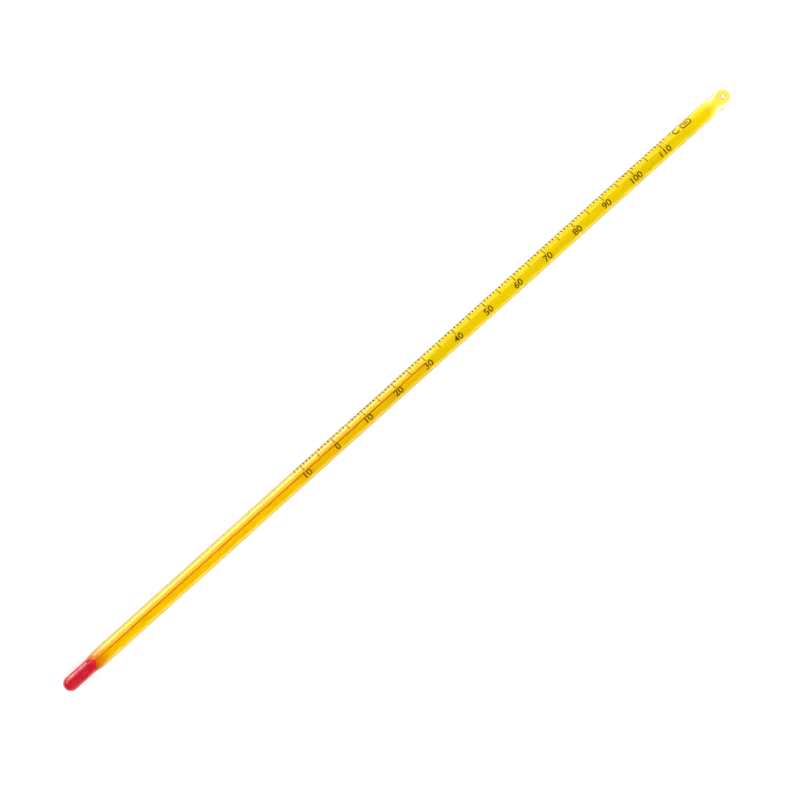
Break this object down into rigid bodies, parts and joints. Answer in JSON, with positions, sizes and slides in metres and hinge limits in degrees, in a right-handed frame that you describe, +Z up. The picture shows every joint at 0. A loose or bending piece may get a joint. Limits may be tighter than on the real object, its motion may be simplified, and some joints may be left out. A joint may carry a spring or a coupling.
{
  "type": "darkroom thermometer",
  "caption": "Glass stem thermometer with yellow backing stripe, red spirit bulb and thread, Celsius scale and a pinched hanging eye at the top.",
  "frame": {"origin": "middle of the thermometer's length, under the stem's axis, on the surface that the stem lies on", "axes": "+X along the stem from the bulb to the hanging eye, +Z up out of the printed side, +Y across the stem towards the ends of the scale's ticks"},
  "size_m": [0.3, 0.0066, 0.006],
  "materials": {
    "clear_glass": "fire-polished clear glass",
    "bulb_clear_glass": "thin blown clear glass",
    "yellow_enamel": "opaque yellow enamel fused in the glass",
    "red_spirit": "red dyed liquid",
    "scale_ink": "fired-on dark brown scale print"
  },
  "bodies": {
    "thermometer": {"stem_glass": "clear_glass", "enamel_stripe": "yellow_enamel", "bulb_glass": "bulb_clear_glass", "bulb_spirit": "red_spirit", "spirit_thread": "red_spirit", "eye_glass": "clear_glass", "eye_enamel": "yellow_enamel"},
    "spirit_level": {"column_top": "red_spirit"}
  },
  "joints": [
    {"name": "spirit_rise", "type": "slide", "parent": "thermometer", "child": "spirit_level", "axis": [1, 0, 0], "range_m": [-0.05425, 0.10851], "deforming": ["spirit_thread"]}
  ]
}
